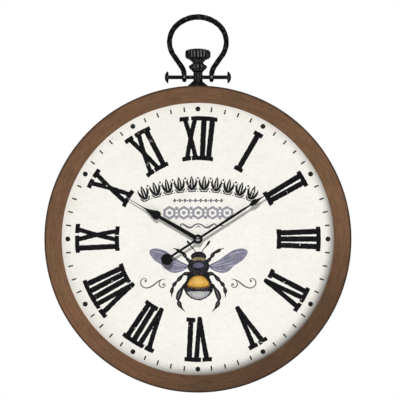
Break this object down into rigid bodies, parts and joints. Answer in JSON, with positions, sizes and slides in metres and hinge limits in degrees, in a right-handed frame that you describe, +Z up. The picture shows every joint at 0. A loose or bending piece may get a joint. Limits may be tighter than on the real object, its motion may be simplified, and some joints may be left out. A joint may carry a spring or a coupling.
{
  "type": "wall clock",
  "caption": "Round wooden wall clock shaped like a pocket watch, with black iron stem, crown, crossbar and swinging bow, spade hands and a battery quartz movement.",
  "frame": {"origin": "top of the keyhole slot in the back plane, where the wall screw carries the clock", "axes": "+Z up, +X to the right of a person facing the dial, +Y into the wall; the dial looks along -Y"},
  "size_m": [0.5, 0.045, 0.6169],
  "materials": {
    "ring_wood": "matt clear coat over brown stain",
    "dial_face": "printed off-white face on fibreboard",
    "black_iron": "black, hammered and waxed",
    "hand_black": "matt black paint",
    "bright_chrome": "polished",
    "zinc_steel": "zinc plated",
    "movement_brass": "turned",
    "case_plastic": "fine spark-eroded grain",
    "gear_plastic": "moulded acetal",
    "plate_plastic": "moulded",
    "knob_plastic": "moulded, ribbed rim",
    "rubber_black": "matt",
    "copper_wire": "lacquered copper wire",
    "board_green": "solder mask",
    "epoxy_black": "epoxy drop",
    "battery_wrap": "plain printed sleeve",
    "magnet_grey": "sintered"
  },
  "bodies": {
    "clock_frame": {"frame_ring": "ring_wood", "rear_hoop": "ring_wood", "dial_board": "dial_face", "dial_screws": "zinc_steel", "hanger_plate": "zinc_steel", "hanger_screws": "zinc_steel", "stem_post": "black_iron", "stem_stud": "zinc_steel", "stud_washer": "zinc_steel", "stud_nut": "zinc_steel", "stem_collar": "black_iron", "crown": "black_iron", "crossbar": "black_iron", "crossbar_caps": "black_iron", "movement_case": "case_plastic", "movement_cover": "case_plastic", "cover_screws": "zinc_steel", "threaded_bushing": "movement_brass", "rubber_washer": "rubber_black", "brass_washer": "movement_brass", "hex_nut": "movement_brass", "train_plate": "plate_plastic", "stator": "magnet_grey", "coil_bobbin": "gear_plastic", "coil_winding": "copper_wire", "circuit_board": "board_green", "chip_blob": "epoxy_black", "quartz_crystal": "bright_chrome", "contact_positive": "zinc_steel", "contact_negative": "zinc_steel"},
    "minute_arbor": {"cannon_pinion": "movement_brass", "centre_wheel": "gear_plastic", "minute_hand": "hand_black", "cap_nut": "bright_chrome"},
    "hour_tube": {"hour_wheel": "gear_plastic", "hour_hand": "hand_black"},
    "motion_work": {"motion_wheel": "gear_plastic", "setting_knob": "knob_plastic"},
    "third_arbor": {"third_wheel": "gear_plastic"},
    "seconds_arbor": {"seconds_wheel": "gear_plastic"},
    "intermediate_arbor": {"intermediate_wheel": "gear_plastic"},
    "rotor": {"rotor_pinion": "gear_plastic", "rotor_magnet": "magnet_grey"},
    "bow_loop": {"bow": "black_iron"},
    "battery_cell": {"battery": "battery_wrap"}
  },
  "joints": [
    {"name": "minute_turn", "type": "hinge", "parent": "clock_frame", "child": "minute_arbor", "pos_m": [0, -0.02, -0.243], "axis": [0, 1, 0], "continuous": true},
    {"name": "hour_turn", "type": "hinge", "parent": "clock_frame", "child": "hour_tube", "pos_m": [0, -0.02, -0.243], "axis": [0, 1, 0], "continuous": true},
    {"name": "motion_turn", "type": "hinge", "parent": "clock_frame", "child": "motion_work", "pos_m": [0.012, -0.02, -0.243], "axis": [0, 1, 0], "continuous": true},
    {"name": "third_turn", "type": "hinge", "parent": "clock_frame", "child": "third_arbor", "pos_m": [-0.00935, -0.02, -0.2376], "axis": [0, 1, 0], "continuous": true},
    {"name": "seconds_turn", "type": "hinge", "parent": "clock_frame", "child": "seconds_arbor", "pos_m": [0, -0.02, -0.243], "axis": [0, 1, 0], "continuous": true},
    {"name": "intermediate_turn", "type": "hinge", "parent": "clock_frame", "child": "intermediate_arbor", "pos_m": [0.00438, -0.02, -0.23542], "axis": [0, 1, 0], "continuous": true},
    {"name": "rotor_turn", "type": "hinge", "parent": "clock_frame", "child": "rotor", "pos_m": [0.00797, -0.02, -0.22919], "axis": [0, 1, 0], "continuous": true},
    {"name": "bow_swing", "type": "hinge", "parent": "clock_frame", "child": "bow_loop", "pos_m": [0, -0.0215, 0.0207], "axis": [1, 0, 0], "range_deg": [-8, 110]},
    {"name": "battery_slide", "type": "slide", "parent": "clock_frame", "child": "battery_cell", "axis": [0, 1, 0], "range_m": [0, 0.016]}
  ],
  "couplings": [
    {"joint": "hour_turn", "follows": "minute_turn", "ratio": 0.083333},
    {"joint": "motion_turn", "follows": "minute_turn", "ratio": -0.33333},
    {"joint": "third_turn", "follows": "minute_turn", "ratio": -8},
    {"joint": "seconds_turn", "follows": "minute_turn", "ratio": 60},
    {"joint": "intermediate_turn", "follows": "minute_turn", "ratio": -360},
    {"joint": "rotor_turn", "follows": "minute_turn", "ratio": 1800}
  ]
}
